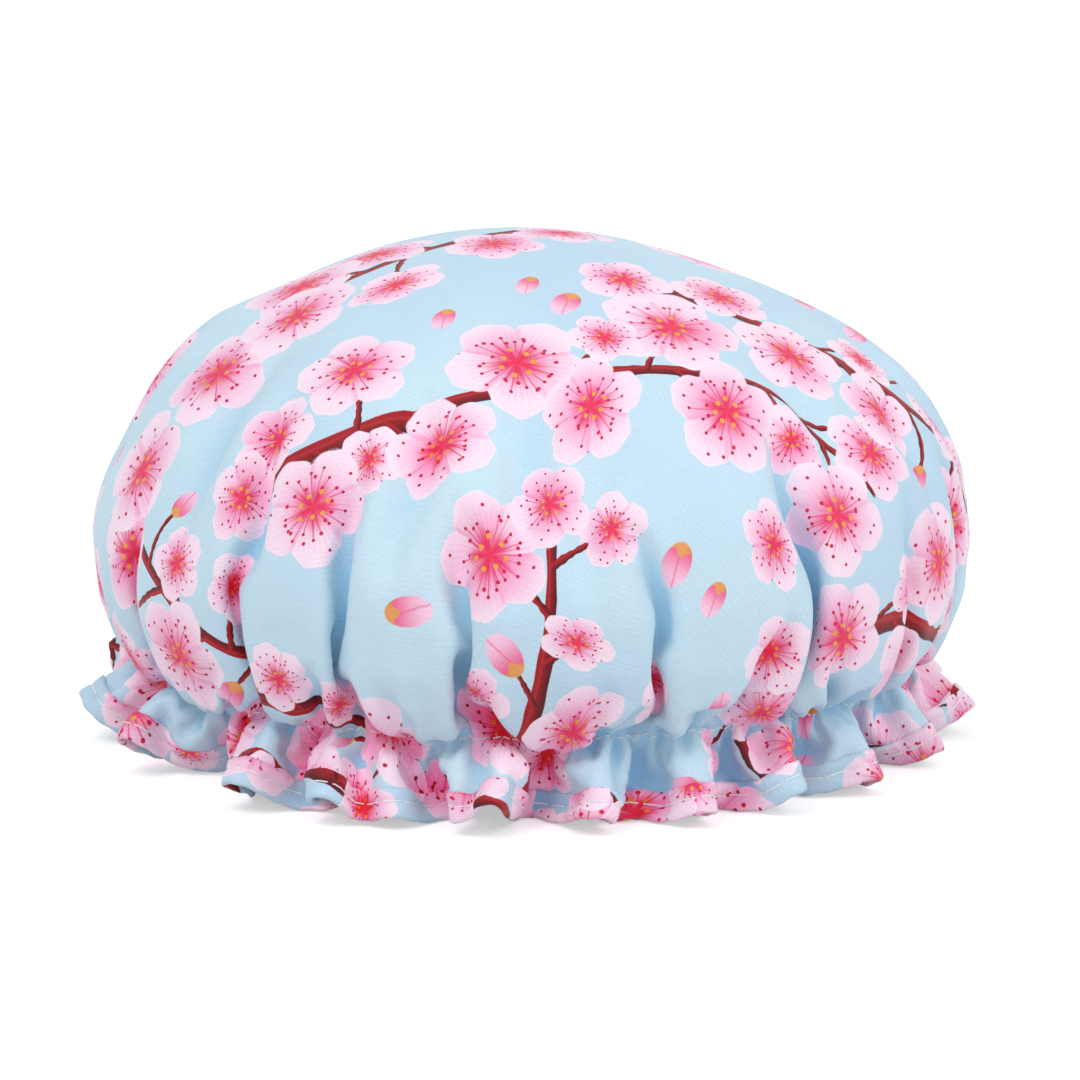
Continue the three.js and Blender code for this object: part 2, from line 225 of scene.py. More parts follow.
def gather(flat, triangles, starts, steps=120, passes=10):
    """Lets the cloth grow from the smooth cap to its flat size while the band holds it, so that it folds."""
    furthest_drift, kept_drift, filling, weight_drop = 0.0012, 0.92, 0.00008, 0.00002
    layers_apart, apart_on_cloth, push_apart = 0.003, 0.011, 0.35
    total = len(flat)
    cut_radius = np.hypot(flat[:, 0], flat[:, 1])
    angle = np.arctan2(flat[:, 0], -flat[:, 1])
    crown = cut_radius < BAND_CUT - 1e-6
    ruffle = cut_radius > BAND_CUT + 1e-6
    column = np.arange(COLUMNS)
    band = starts[-1 - ROWS] + column
    points = starting_shape(cut_radius, angle, crown, ruffle, seed=5)
    sewn = turned(BAND_RADIUS, angle[band], BAND_HEIGHT)
    points[band] = sewn
    free = np.ones(total)
    free[band] = 0

    sides, facing = triangle_sides(triangles)
    order = np.lexsort((sides[:, 1], sides[:, 0]))
    sides, facing = sides[order], facing[order]
    shared = np.all(sides[1:] == sides[:-1], 1)
    threads = sides[np.concatenate([[True], ~shared])]
    bends = np.stack([facing[:-1][shared], facing[1:][shared]], 1)

    def spans(gap):
        across = np.stack([column, (column + gap) % COLUMNS], 1)
        return np.concatenate([start + across for start in starts[2 - ROWS:]])

    def lengths(place, pairs):
        return np.linalg.norm(place[pairs[:, 0]] - place[pairs[:, 1]], axis=1)

    rules = []
    for pairs, stretch, press, share in ((threads, 1.0, 0.7, 1.0), (bends, 0.0, 0.12, 1.0),
                                         (spans(3), 0.0, 0.6, 0.7), (spans(6), 0.0, 0.6, 0.55)):
        before, after = lengths(points, pairs), share * lengths(flat, pairs)
        if share == 1.0:
            slack = np.interp(cut_radius[pairs].mean(1), (0.05, 0.14, 0.19), (0.0, 0.85, 1.0))
            after = before + (after - before) * slack
        else:
            before = np.minimum(before, after)
        for batch in independent_batches(pairs, total):
            i, j = pairs[batch].T
            moving = free[i] + free[j] > 0
            i, j, batch = i[moving], j[moving], batch[moving]
            weight = (free[i] / (free[i] + free[j]))[:, None]
            rules.append((i, j, before[batch], after[batch], weight, stretch, press))

    earlier = points.copy()
    for step in range(steps):
        growth = min(1.0, (step + 1) / (0.6 * steps))
        drift = (points - earlier) * kept_drift
        speed = np.maximum(np.linalg.norm(drift, axis=1, keepdims=True), 1e-12)
        drift *= np.minimum(1, furthest_drift / speed)
        earlier = points.copy()
        outward = point_normals(points, triangles)
        points = points + drift + outward * (filling * crown)[:, None]
        points[:, 2] -= weight_drop * free
        points[band] = sewn
        touching = touching_pairs(points, layers_apart, flat, apart_on_cloth)
        for turn in range(passes):
            for i, j, before, after, weight, stretch, press in rules:
                apart = points[j] - points[i]
                length = np.sqrt((apart * apart).sum(1))
                excess = length - before - (after - before) * growth
                pull = np.where(excess > 0, stretch, press) * excess / np.maximum(length, 1e-9)
                apart *= pull[:, None]
                points[i] += apart * weight
                points[j] -= apart * (1 - weight)
            hold_in_shape(points, crown, ruffle)
            if turn % 2 and len(touching):
                i, j = touching.T
                apart = points[j] - points[i]
                length = np.sqrt((apart * apart).sum(1))
                overlap = np.minimum(length - layers_apart, 0)
                apart *= (push_apart * overlap / np.maximum(length, 1e-9))[:, None]
                points += (sums_at(i, apart, total) - sums_at(j, apart, total)) * free[:, None]
            points[band] = sewn
    return points


def point_normals(points, triangles):
    """The outward normal at each point of a mesh."""
    a, b, c = points[triangles[:, 0]], points[triangles[:, 1]], points[triangles[:, 2]]
    across = np.cross(b - a, c - a)
    normal = sum(sums_at(corner, across, len(points)) for corner in triangles.T)
    return normal / np.maximum(np.linalg.norm(normal, axis=1, keepdims=True), 1e-12)


def hold_in_shape(points, crown, ruffle):
    """Keeps the crown between what fills it and its fullest outline, the ruffle outside the elastic, and all
    of the cloth off the floor."""
    height = points[:, 2]
    middle = np.interp(height, (0.04, 0.08, 0.10, 0.115, 0.13, 0.15, 0.17),
                       (0, 0, 0.003, 0.0015, -0.001, -0.004, -0.005))
    side = points[:, 0] - middle
    radius = np.maximum(np.hypot(side, points[:, 1]), 1e-6)
    rise = np.maximum(height - CROWN_WIDEST, 0)
    upper = crown & (height > CROWN_WIDEST)
    lower = crown & (height <= CROWN_WIDEST)

    filled = np.hypot(radius / FILLED_RADIUS, rise / FILLED_RISE)
    fullest = np.hypot(radius / FULLEST_RADIUS, rise / FULLEST_RISE)
    scale = np.where(upper & (filled < 1), 1 / np.maximum(filled, 1e-6), 1.0)
    scale = np.where(upper & (fullest > 1), 1 + 0.5 * (1 / np.maximum(fullest, 1e-6) - 1), scale)
    points[:, 2] = np.where(upper, CROWN_WIDEST + (height - CROWN_WIDEST) * scale, height)
    least = np.interp(height, (0.030, 0.033, 0.045, 0.060, 0.066),
                      (OUTSIDE_ELASTIC, 0.116, 0.117, 0.125, 0.134))
    most = np.interp(height, (0.014, 0.020, 0.028, 0.038, 0.050, 0.066),
                     (0.126, 0.129, 0.134, 0.1395, 0.144, FULLEST_RADIUS))
    scale = np.where(lower & (radius < least), least / radius, scale)
    scale = np.where(lower & (radius > most), 1 + 0.5 * (most / radius - 1), scale)
    points[:, 0] = middle + side * scale
    points[:, 1] *= scale
    hanging = crown & (points[:, 2] < LOWEST_PUFF)
    points[hanging, 2] += 0.3 * (LOWEST_PUFF - points[hanging, 2])
    radius = np.hypot(points[:, 0], points[:, 1])
    inside = ruffle & (points[:, 2] > RUFFLE_TOP) & (radius < OUTSIDE_ELASTIC)
    points[inside, :2] *= (OUTSIDE_ELASTIC / np.maximum(radius[inside], 1e-6))[:, None]
    points[:, 2] = np.maximum(points[:, 2], OFF_FLOOR)


def refine(points, flat, triangles):
    """One round of smooth subdivision of the cloth, which also carries its flat places."""
    total = len(points)
    sides, facing = triangle_sides(triangles)
    edges, which = np.unique(sides[:, 0] * total + sides[:, 1], return_inverse=True)
    a, b = edges // total, edges % total
    uses = np.bincount(which, minlength=len(edges))
    rim = uses == 1
    opposite = sums_at(which, points[facing], len(edges))
    middle = 0.5 * (points[a] + points[b])
    middle[~rim] = 0.75 * middle[~rim] + 0.125 * opposite[~rim]

    ends, others = np.concatenate([a, b]), np.concatenate([b, a])
    degree = np.bincount(ends, minlength=total)
    beta = (0.625 - (0.375 + 0.25 * np.cos(2 * math.pi / degree)) ** 2) / degree
    around = sums_at(ends, points[others], total)
    moved = points * (1 - degree * beta)[:, None] + around * beta[:, None]
    on_rim = np.unique(np.concatenate([a[rim], b[rim]]))
    on_edge = np.concatenate([rim, rim])
    rim_sum = sums_at(ends[on_edge], points[others[on_edge]], total)
    moved[on_rim] = 0.75 * points[on_rim] + 0.125 * rim_sum[on_rim]

    ab, bc, ca = (total + part for part in np.split(which, 3))
    p, q, r = triangles.T
    corners = [(p, ab, ca), (ab, q, bc), (ca, bc, r), (ab, bc, ca)]
    finer = np.concatenate([np.stack(corner, 1) for corner in corners])
    places = np.concatenate([flat, 0.5 * (flat[a] + flat[b])])
    return np.concatenate([moved, middle]), places, finer, edges


def ruffle_columns(starts, edges, total):
    """Numbers of the refined ruffle's points: a row for each ring from the band to the hem, round the cap."""
    def between(a, b):
        low, high = np.minimum(a, b), np.maximum(a, b)
        return total + np.searchsorted(edges, low * total + high)

    first_ring = len(starts) - 1 - ROWS
    column = np.arange(COLUMNS)
    after = (column + 1) % COLUMNS
    rows = []
    for ring in range(first_ring, len(starts)):
        here = starts[ring]
        rows.append(np.stack([here + column, between(here + column, here + after)], 1).ravel())
        if ring == len(starts) - 1:
            break
        below = starts[ring + 1]
        leans = (column + ring + 1) % 2 == 1
        slant = np.where(leans, between(here + after, below + column),
                         between(here + column, below + after))
        rows.append(np.stack([between(here + column, below + column), slant], 1).ravel())
    return np.array(rows)


flat, triangles, starts = cut_disc()
gathered = gather(flat, triangles, starts)
cloth, cut, faces, edge_keys = refine(gathered, flat, triangles)
ruffle = ruffle_columns(starts, edge_keys, len(flat))

# The thread draws the cloth into small puckers on both sides of the gathered line, and finer wrinkles run
# out from it.
PUCKER_DEPTH = 0.0006
WRINKLE_DEPTH = 0.0007
PUCKERED_OFF_FLOOR = 0.0012
pucker_chance = np.random.default_rng(5)
cut_angle = np.arctan2(cut[:, 0], -cut[:, 1])
from_band = np.hypot(cut[:, 0], cut[:, 1]) - BAND_CUT
pucker = np.zeros(len(cut))
for waves in (83, 109, 131, 158):
    pucker += np.sin(waves * cut_angle + pucker_chance.uniform(0, 2 * math.pi))
pucker *= PUCKER_DEPTH * np.exp(-np.abs(from_band) / np.where(from_band < 0, 0.011, 0.008))
for waves, slant in ((57, 60), (71, -45), (88, 25), (103, -80)):
    patches = np.sin(7 * cut_angle + pucker_chance.uniform(0, 2 * math.pi)) ** 2
    lines = np.sin(waves * cut_angle + slant * from_band + pucker_chance.uniform(0, 2 * math.pi))
    fade = np.exp(-np.abs(from_band) / np.where(from_band < 0, 0.034, 0.012))
    pucker += WRINKLE_DEPTH * patches * lines * fade
cloth = cloth + pucker[:, None] * point_normals(cloth, faces)
cloth[:, 2] = np.maximum(cloth[:, 2], PUCKERED_OFF_FLOOR)


def round_about(values, triangles):
    """The mean of each point's neighbours on a mesh."""
    ends, others = triangles.ravel("F"), np.roll(triangles, -1, axis=1).ravel("F")
    count = np.maximum(np.bincount(ends, minlength=len(values)), 1)
    return sums_at(ends, values[others], len(values)) / count[:, None]


def crossing_points(first, second, triangles):
    """The points of the faces that pass through each other, in two sheets or in one."""
    trees = [BVHTree.FromPolygons(sheet.tolist(), triangles.tolist()) for sheet in (first, second)]
    pairs = np.array(trees[0].overlap(trees[1]), int).reshape(-1, 2)
    if first is second:
        joined = (triangles[pairs[:, 0], :, None] == triangles[pairs[:, 1], None, :]).any((1, 2))
        pairs = pairs[~joined]
    return np.unique(triangles[pairs])


# Where tight folds by the gathered line would pass through each other, the film or the elastic, they lie
# flatter.
CLEAR_RADIUS = OUTSIDE_ELASTIC + 0.0002
CLEAR_HEIGHT = 0.005
EASED_WIDTH = 0.06
MOST_ROUNDS = 24
gathered_faces = faces[(np.abs(from_band[faces]) < EASED_WIDTH).all(1)]
for _ in range(MOST_ROUNDS):
    radius = np.hypot(cloth[:, 0], cloth[:, 1])
    pressed = (np.abs(cloth[:, 2] - BAND_HEIGHT) < CLEAR_HEIGHT) & (radius < CLEAR_RADIUS)
    cloth[pressed, :2] *= (CLEAR_RADIUS / radius[pressed])[:, None]
    cloth_normal = point_normals(cloth, faces)
    film = cloth - FILM_GAP * cloth_normal
    crossing = np.union1d(crossing_points(cloth, cloth, gathered_faces),
                          crossing_points(cloth, film, gathered_faces))
    if not len(crossing):
        break
    eased = np.zeros((len(cloth), 1))
    eased[crossing] = 1
    for _ in range(2):
        eased = np.maximum(eased, np.minimum(1, 2 * round_about(eased, faces)))
    for _ in range(4):
        cloth += 0.6 * eased * (round_about(cloth, faces) - cloth)


# Outer fabric: the print
# Heat-transfer printed sprays of round five-petalled blossoms, buds and twigs on a pale blue ground. The
# print is laid out on the flat cloth, so it is cut off at the edges and goes into every fold.

def linear(red, green, blue):
    """A colour given in screen values from 0 to 255, as the shaders take it."""
    parts = (np.array([red, green, blue]) / 255).tolist()
    return [part / 12.92 if part <= 0.04045 else ((part + 0.055) / 1.055) ** 2.4
            for part in parts] + [1.0]


def one_step(heading):
    """A step of length 1 in a direction on the flat cloth."""
    return np.array([math.cos(heading), math.sin(heading)])


def write_attribute(mesh, name, kind, domain, values):
    """Stores a number or a vector with each point or corner of a mesh."""
    field = "vector" if kind == "FLOAT_VECTOR" else "value"
    mesh.attributes.new(name, kind, domain).data.foreach_set(field, values.astype(np.float32).ravel())


# How many motifs of a kind can lie over each other at one place, and how a branch grows, in metres and steps.
PRINT_LAYERS = {"twig": 4, "bud": 2, "blossom": 4}
BRANCH_STEP = 0.005
LONGEST_BRANCH = 48
SHORTEST_BRANCH = 15
TWIG_PARTS = 6


class Motifs:
    """The blossoms, buds and twigs of one piece of cloth, in metres on the flat cloth."""

    def __init__(self, seed, holds):
        self.chance = np.random.default_rng(seed)
        self.holds = holds
        self.blossoms = []
        self.buds = []
        self.twigs = []

    def room(self, place, size, nearness):
        """Whether a blossom of this size fits at the place."""
        for other, other_size, *_ in self.blossoms:
            if np.hypot(*(place - other)) < nearness * (size + other_size):
                return False
        return True

    def add_blossom(self, place, size):
        turn = self.chance.uniform(0, 2 * math.pi)
        flatness = self.chance.choice([1.0, 0.92, 0.8, 0.66], p=[0.45, 0.25, 0.2, 0.1])
        self.blossoms.append((place, size, turn, flatness, self.chance.uniform(0.02, 0.98)))

    def add_bud(self, place, heading):
        size = self.chance.uniform(0.0055, 0.0085)
        self.buds.append((place, size, heading, 0.62, self.chance.uniform(0.02, 0.98)))

    def add_twig(self, path, thick, thin):
        self.twigs.append((np.array(path), thick, thin, self.chance.uniform(0.02, 0.98)))

    def grow_branches(self, start_place, tries, clear):
        """Long bent branches that keep clear of each other, with sprays of blossoms at their sides."""
        grown = np.zeros((0, 2))
        branches = []
        for _ in range(tries):
            place = start_place(self.chance)
            heading = self.chance.uniform(0, 2 * math.pi)
            bend, rate = self.chance.uniform(4, 12), self.chance.uniform(14, 30)
            phase = self.chance.uniform(0, 2 * math.pi)
            path = [place]
            for step in range(LONGEST_BRANCH):
                heading += BRANCH_STEP * bend * math.sin(BRANCH_STEP * rate * step + phase)
                place = place + BRANCH_STEP * one_step(heading)
                crowded = len(grown) and np.hypot(*(grown - place).T).min() < clear
                if crowded or not self.holds(place):
                    break
                path.append(place)
            if len(path) < SHORTEST_BRANCH:
                continue
            grown = np.concatenate([grown, path])
            branches.append(np.array(path))
            self.add_twig(path, thick=0.0042, thin=0.0013)
        for path in branches:
            self.dress(path)

    def dress(self, path):
        """Side twigs along a branch, each with a blossom or a bud at its end."""
        side = 1
        step = int(self.chance.integers(1, 4))
        while step < len(path) - 1:
            ahead = path[step + 1] - path[step]
            heading = math.atan2(ahead[1], ahead[0]) + side * self.chance.uniform(0.5, 1.1)
            length = self.chance.uniform(0.012, 0.03)
            size = self.chance.choice([0.013, 0.018, 0.0215, 0.0245], p=[0.2, 0.2, 0.3, 0.3])
            curve = self.chance.uniform(-30, 30)
            twig = [path[step]]
            for _ in range(TWIG_PARTS):
                heading += curve * length / TWIG_PARTS
                twig.append(twig[-1] + length / TWIG_PARTS * one_step(heading))
            if self.room(twig[-1], size, nearness=0.6):
                self.add_twig(twig, thick=0.0014, thin=0.0007)
                self.add_blossom(twig[-1], size)
            elif self.room(twig[-1], 0.006, nearness=0.95):
                self.add_twig(twig, thick=0.0012, thin=0.0006)
                self.add_bud(twig[-1], heading)
            side = -side
            step += int(self.chance.integers(2, 4))
        for end in (path[0], path[-1]):
            if self.room(end, 0.018, nearness=0.5):
                self.add_blossom(end, self.chance.uniform(0.014, 0.02))

    def scatter(self, start_place, tries):
        """Single blossoms and loose buds in the open ground between the branches."""
        for _ in range(tries):
            place = start_place(self.chance)
            size = self.chance.uniform(0.011, 0.022)
            if self.room(place, size + 0.001, nearness=1.0):
                self.add_blossom(place, size)
        for _ in range(tries):
            place = start_place(self.chance)
            if self.room(place, 0.009, nearness=1.0):
                self.add_bud(place, self.chance.uniform(0, 2 * math.pi))

    def write(self, mesh, corner_place):
        """Gives each corner of the mesh its place on the motifs of its face, by layers of attributes."""
        total = len(mesh.polygons)

        def lay(name, motifs):
            values = np.full((PRINT_LAYERS[name], total, 3, 3), -1.0)
            for face, value in motifs:
                for layer in values:
                    if (layer[face, 0, 2] < 0).all():
                        layer[face] = value
                        break
            for number, layer in enumerate(values):
                write_attribute(mesh, f"{name}_{number + 1}", "FLOAT_VECTOR", "CORNER", layer)

        lay("blossom", (self.spot(corner_place, motif, margin=1.06) for motif in self.blossoms))
        lay("bud", (self.spot(corner_place, motif, margin=1.7) for motif in self.buds))
        lay("twig", (self.line(corner_place, motif) for motif in self.twigs))

    def spot(self, corner_place, motif, margin):
        """The faces that a blossom or bud covers, and their corners' places in its own size and turn."""
        place, size, turn, flatness, number = motif
        away = corner_place - place
        face = np.flatnonzero((np.hypot(away[..., 0], away[..., 1]) < margin * size).any(1))
        x, y = np.moveaxis(away[face], -1, 0) / size
        along = x * math.cos(turn) + y * math.sin(turn)
        across = (y * math.cos(turn) - x * math.sin(turn)) / flatness
        return face, np.stack([along, across, np.full_like(x, number)], -1)

    def line(self, corner_place, motif):
        """The faces that a twig crosses, and their corners' places along it and across it."""
        path, thick, thin, number = motif
        low, high = path.min(0) - 2 * thick, path.max(0) + 2 * thick
        near = np.flatnonzero(((corner_place > low) & (corner_place < high)).all(2).any(1))
        spot = corner_place[near].reshape(-1, 2)
        run = np.diff(path, axis=0)
        away = spot[:, None] - path[None, :-1]
        part = (away * run).sum(2) / (run * run).sum(1)
        kept = np.clip(part, 0, 1)
        kept[:, 0], kept[:, -1] = np.minimum(part[:, 0], 1), np.maximum(part[:, -1], 0)
        rest = away - kept[..., None] * run
        distance = np.hypot(rest[..., 0], rest[..., 1])
        nearest = distance.argmin(1)
        rows = np.arange(len(spot))
        ahead, beside = run[nearest], rest[rows, nearest]
        side = np.sign(ahead[:, 0] * beside[:, 1] - ahead[:, 1] * beside[:, 0])
        along = (nearest + kept[rows, nearest]) / len(run)
        width = thick + (thin - thick) * np.clip(along, 0, 1)
        across = side * distance[rows, nearest] / width
        value = np.stack([along, across, np.full(len(spot), number)], -1).reshape(-1, 3, 3)
        touched = (np.abs(value[..., 1]) * width.reshape(-1, 3) < thick + 0.004).any(1)
        return near[touched], value[touched]


def on_disc(chance):
    """A chance place on the flat disc."""
    radius, angle = (HEM_CUT + 0.01) * math.sqrt(chance.uniform()), chance.uniform(0, 2 * math.pi)
    return radius * one_step(angle)


disc_print = Motifs(seed=67, holds=lambda place: np.hypot(*place) < HEM_CUT + 0.015)
disc_print.grow_branches(on_disc, tries=700, clear=0.04)
disc_print.scatter(on_disc, tries=260)


class Wire:
    """A shader value that takes plain arithmetic, each step of which adds a Math node to its tree."""

    def __init__(self, tree, socket):
        self.tree = tree
        self.socket = socket

    def do(self, operation, *others):
        node = self.tree.nodes.new("ShaderNodeMath")
        node.operation = operation
        for place, value in zip(node.inputs, (self, *others)):
            feed(self.tree, place, value)
        return Wire(self.tree, node.outputs[0])

    def __add__(self, other):
        return self.do("ADD", other)

    def __sub__(self, other):
        return self.do("SUBTRACT", other)

    def __mul__(self, other):
        return self.do("MULTIPLY", other)

    def __truediv__(self, other):
        return self.do("DIVIDE", other)

    def between(self, start, end):
        """0 at start, 1 at end, and smooth in between."""
        node = self.tree.nodes.new("ShaderNodeMapRange")
        node.interpolation_type = "SMOOTHSTEP"
        if start > end:
            node.inputs["To Min"].default_value, node.inputs["To Max"].default_value = 1.0, 0.0
        for place, value in zip(node.inputs, (self, min(start, end), max(start, end))):
            feed(self.tree, place, value)
        return Wire(self.tree, node.outputs[0])


def feed(tree, place, value):
    """Sets a socket to a value, or wires it to one."""
    if isinstance(value, Wire):
        tree.links.new(value.socket, place)
    elif isinstance(value, bpy.types.NodeSocket):
        tree.links.new(value, place)
    else:
        place.default_value = value


def mixed(tree, share, first, second):
    """One colour over another."""
    node = tree.nodes.new("ShaderNodeMix")
    node.data_type = "RGBA"
    for place, value in ((node.inputs[0], share), (node.inputs[6], first), (node.inputs[7], second)):
        feed(tree, place, value)
    return node.outputs[2]


def parts(tree, vector):
    """The three numbers of a vector."""
    node = tree.nodes.new("ShaderNodeSeparateXYZ")
    tree.links.new(vector, node.inputs[0])
    return [Wire(tree, output) for output in node.outputs]


def chance_of(tree, first, second):
    """A chance number from 0 to 1 that stays the same for the same two numbers."""
    joined = tree.nodes.new("ShaderNodeCombineXYZ")
    feed(tree, joined.inputs[0], first)
    feed(tree, joined.inputs[1], second * 97.0)
    node = tree.nodes.new("ShaderNodeTexWhiteNoise")
    tree.links.new(joined.outputs[0], node.inputs["Vector"])
    return Wire(tree, node.outputs["Value"])


def noise(tree, where, scale, detail=2.0):
    """Soft unevenness from 0 to 1, finer with scale."""
    node = tree.nodes.new("ShaderNodeTexNoise")
    node.inputs["Scale"].default_value = scale
    node.inputs["Detail"].default_value = detail
    tree.links.new(where, node.inputs["Vector"])
    return Wire(tree, node.outputs[0])


def scaled(tree, vector, share):
    """A vector or colour times a number."""
    node = tree.nodes.new("ShaderNodeVectorMath")
    node.operation = "SCALE"
    tree.links.new(vector, node.inputs[0])
    feed(tree, node.inputs["Scale"], share)
    return node.outputs[0]


def new_material(name, **settings):
    """A material, its node tree and its shader, with the shader's inputs set by their names."""
    material = bpy.data.materials.new(name)
    material.use_nodes = True
    shader = material.node_tree.nodes["Principled BSDF"]
    for label, value in settings.items():
        shader.inputs[label.replace("_", " ")].default_value = value
    return material, material.node_tree, shader


def raise_surface(tree, shader, height, distance):
    """Gives the surface fine relief: height is in units of distance, in metres."""
    bump = tree.nodes.new("ShaderNodeBump")
    bump.inputs["Distance"].default_value = distance
    bump.inputs["Strength"].default_value = 1.0
    feed(tree, bump.inputs["Height"], height)
    tree.links.new(bump.outputs[0], shader.inputs["Normal"])


def place_on_cloth(tree):
    """The place on the flat cloth, from the mesh's own map."""
    node = tree.nodes.new("ShaderNodeUVMap")
    node.uv_map = "cut"
    return node.outputs[0]


def new_group(name, inputs, outputs):
    """An empty shader node group with the named sockets."""
    tree = bpy.data.node_groups.new(name, "ShaderNodeTree")
    for label, kind in inputs:
        tree.interface.new_socket(label, in_out="INPUT", socket_type=kind)
    for label, kind in outputs:
        tree.interface.new_socket(label, in_out="OUTPUT", socket_type=kind)
    return tree, tree.nodes.new("NodeGroupInput").outputs, tree.nodes.new("NodeGroupOutput").inputs


def motif_group(name, draw):
    """A printed motif over what is below it. Place is the spot on the motif, in sizes of it, and its chance
    number, which is below 0 where there is no motif. Draw gives what it covers and its colour."""
    tree, given, result = new_group(name, [("Below", "NodeSocketColor"), ("Place", "NodeSocketVector")],
                                    [("Colour", "NodeSocketColor")])
    x, y, number = parts(tree, given["Place"])
    covered, colour = draw(tree, x, y, number)
    shown = covered * number.do("GREATER_THAN", 0.0)
    feed(tree, result["Colour"], mixed(tree, shown, given["Below"], colour))
    return tree


def draw_blossom(tree, x, y, number):
    """A round five-petalled blossom with veined petals, a deep heart and stamens."""
    far = (x * x + y * y).do("SQRT")
    turn = y.do("ARCTAN2", x) + number * (2 * math.pi)
    fifth = turn * (5 / (2 * math.pi))
    petal = (fifth + 0.5).do("FLOOR")
    lean = (fifth - petal) * (2 * math.pi / 5)
    chance = chance_of(tree, (petal + 20.0).do("MODULO", 5.0), number)
    along = far * lean.do("COSINE") - 0.55
    across = far * lean.do("SINE")
    from_middle = (along * along + across * across).do("SQRT")
    ripple = (across.do("ARCTAN2", along) * 7.0 + chance * 20.0).do("SINE")
    edge = ripple * 0.014 + chance * 0.03 + 0.42 - from_middle
    covered = edge.between(0.0, 0.025).do("MAXIMUM", far.between(0.28, 0.24))

    pale, rose, deep = linear(255, 226, 241), linear(246, 156, 197), linear(236, 12, 74)
    tint = far * 0.8 + chance * 0.3
    colour = mixed(tree, tint.between(0.2, 0.85), rose, pale)
    vein = (lean * 44.0 + chance * 6.0).do("SINE").between(0.2, 1.0) * far.between(0.9, 0.3) * 0.45
    colour = mixed(tree, vein, colour, rose)
    from_next = far * (lean * -1.0 + math.pi / 5).do("SINE")
    under = from_next.between(0.12, 0.0) * far.between(0.15, 0.3) * 0.6
    colour = mixed(tree, under, colour, rose)
    colour = mixed(tree, edge.between(0.06, 0.01) * 0.45, colour, linear(255, 240, 247))
    streak = (turn * 21.0 + number * 9.0).do("SINE") * (turn * 5.0).do("COSINE")
    heart = (far + (turn * 5.0).do("COSINE") * -0.06 + streak * 0.05).between(0.46, 0.08)
    colour = mixed(tree, heart * 0.95, colour, deep)

    for rays, least, spread, size, tone in ((19, 0.40, 0.42, 0.034, linear(196, 16, 62)),
                                            (13, 0.30, 0.30, 0.040, linear(214, 24, 74)),
                                            (7, 0.16, 0.12, 0.050, linear(238, 164, 70))):
        ray = turn * (rays / (2 * math.pi))
        which = (ray + 0.5).do("FLOOR")
        luck = chance_of(tree, (which + 4.0 * rays).do("MODULO", float(rays)), number + rays)
        swerve = (ray - which) * (2 * math.pi / rays) + (luck * 7.0).do("FRACT") * 0.16 - 0.08
        to_tip = far - (luck * spread + least)
        beside = far * swerve
        stalk = beside.do("ABSOLUTE").between(0.016, 0.006) * to_tip.between(0.01, -0.01)
        stalk = stalk * far.between(0.05, 0.2) * luck.between(0.75, 0.5) * 0.7
        colour = mixed(tree, stalk, colour, linear(222, 40, 110))
        tip = (to_tip * to_tip + beside * beside).do("SQRT").between(size, 0.6 * size)
        colour = mixed(tree, tip, colour, tone)
    return covered, colour


def draw_bud(tree, x, y, number):
    """A closed bud in its sepals, which points along x."""
    body = x - 0.15
    round_body = (body * body + y * y).do("SQRT")
    covered = round_body.between(0.98, 0.90)
    fold = (y - x * 0.35).do("ABSOLUTE").between(0.12, 0.0) * 0.6
    colour = mixed(tree, x.between(-0.6, 0.9), linear(240, 96, 148), linear(253, 205, 228))
    colour = mixed(tree, fold, colour, linear(236, 90, 140))
    sepal = (x + (y * 6.0).do("COSINE") * -0.14).between(-0.28, -0.36)
    colour = mixed(tree, sepal, colour, linear(233, 158, 92))
    return covered, mixed(tree, sepal * y.between(0.2, 0.9) * 0.7, colour, linear(176, 84, 48))


def draw_twig(tree, along, across, number):
    """A knotty twig, from 0 to 1 along it and from -1 to 1 across it."""
    knots = (along * 46.0 + number * 30.0).do("SINE") * 0.09
    knots = knots + (along * 17.0 + number * 50.0).do("SINE") * 0.1
    off_middle = across.do("ABSOLUTE") + knots
    covered = off_middle.between(1.0, 0.86) * along.between(-0.004, 0.004) * along.between(1.006, 0.998)
    colour = mixed(tree, across.between(-0.9, 0.7), linear(88, 4, 14), linear(166, 14, 28))
    gleam = (across - 0.35).do("ABSOLUTE").between(0.3, 0.0) * 0.45
    return covered, mixed(tree, gleam, colour, linear(192, 56, 60))


def weave_group():
    """Satin weave: fine slanting floats with a little unevenness from thread to thread. Cut is the place on
    the flat cloth in metres. Height is in metres, and Shade is about 1."""
    tree, given, result = new_group("satin weave",
                                    [("Cut", "NodeSocketVector"), ("Pitch", "NodeSocketFloat")],
                                    [("Height", "NodeSocketFloat"), ("Shade", "NodeSocketFloat")])
    x, y, _ = parts(tree, given["Cut"])
    pitch = Wire(tree, given["Pitch"])
    slant = (x * 0.8 + y * 0.6) / pitch
    cross = (y * 0.8 - x * 0.6) / pitch
    floats = (slant * (2 * math.pi)).do("SINE")
    ties = (cross * (0.5 * math.pi) + slant.do("FLOOR") * 2.4).do("SINE")
    uneven = noise(tree, given["Cut"], 420.0) - 0.5
    height = floats * 0.00003 + ties * 0.00002 + uneven * 0.00006
    feed(tree, result["Height"], height)
    feed(tree, result["Shade"], floats * 0.018 + ties * 0.012 + uneven * 0.06 + 1.0)
    return tree


def place_group(tree, group, **inputs):
    """A node group set in a tree, with its inputs set or wired."""
    node = tree.nodes.new("ShaderNodeGroup")
    node.node_tree = group
    for name, value in inputs.items():
        feed(tree, node.inputs[name], value)
    return node.outputs


def read(tree, name, field):
    """What a mesh's own attribute holds: its Vector, or its number as Fac."""
    node = tree.nodes.new("ShaderNodeAttribute")
    node.attribute_name = name
    return node.outputs[field]


